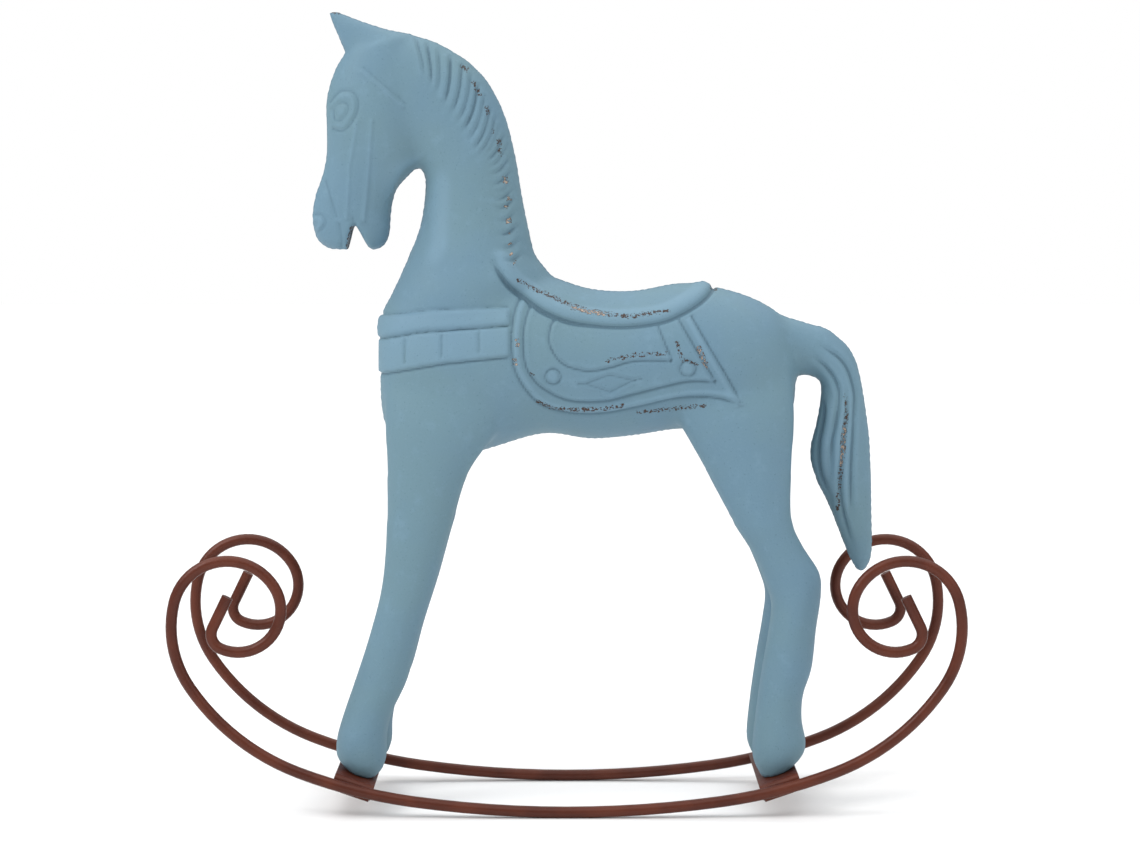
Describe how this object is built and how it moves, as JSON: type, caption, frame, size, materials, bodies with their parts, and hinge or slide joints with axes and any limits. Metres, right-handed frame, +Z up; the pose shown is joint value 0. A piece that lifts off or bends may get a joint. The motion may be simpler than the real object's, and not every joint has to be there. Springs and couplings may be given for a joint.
{
  "type": "rocking horse ornament",
  "caption": "Hollow pressed sheet metal horse in matte blue, standing on two bent-rod rockers with scrolled ends joined by cross plates.",
  "frame": {"origin": "on the ground under the middle of the rockers, in the centre plane of the horse", "axes": "+Z up, -X the way the horse looks, -Y its left side"},
  "size_m": [0.35, 0.085, 0.3529],
  "materials": {
    "blue_paint": "matte",
    "brown_paint": "satin",
    "screw_steel": "satin"
  },
  "bodies": {
    "root": {"left_shell": "blue_paint", "right_shell": "blue_paint", "seam_weld": "blue_paint", "front_left_leg_panel": "blue_paint", "front_right_leg_panel": "blue_paint", "rear_left_leg_panel": "blue_paint", "rear_right_leg_panel": "blue_paint", "left_rocker": "brown_paint", "right_rocker": "brown_paint", "front_cross_plate": "brown_paint", "front_plate_welds": "brown_paint", "rear_cross_plate": "brown_paint", "rear_plate_welds": "brown_paint", "front_left_hoof_screw": "screw_steel", "front_right_hoof_screw": "screw_steel", "rear_left_hoof_screw": "screw_steel", "rear_right_hoof_screw": "screw_steel", "front_left_hoof_nut": "screw_steel", "front_right_hoof_nut": "screw_steel", "rear_left_hoof_nut": "screw_steel", "rear_right_hoof_nut": "screw_steel"}
  },
  "joints": []
}
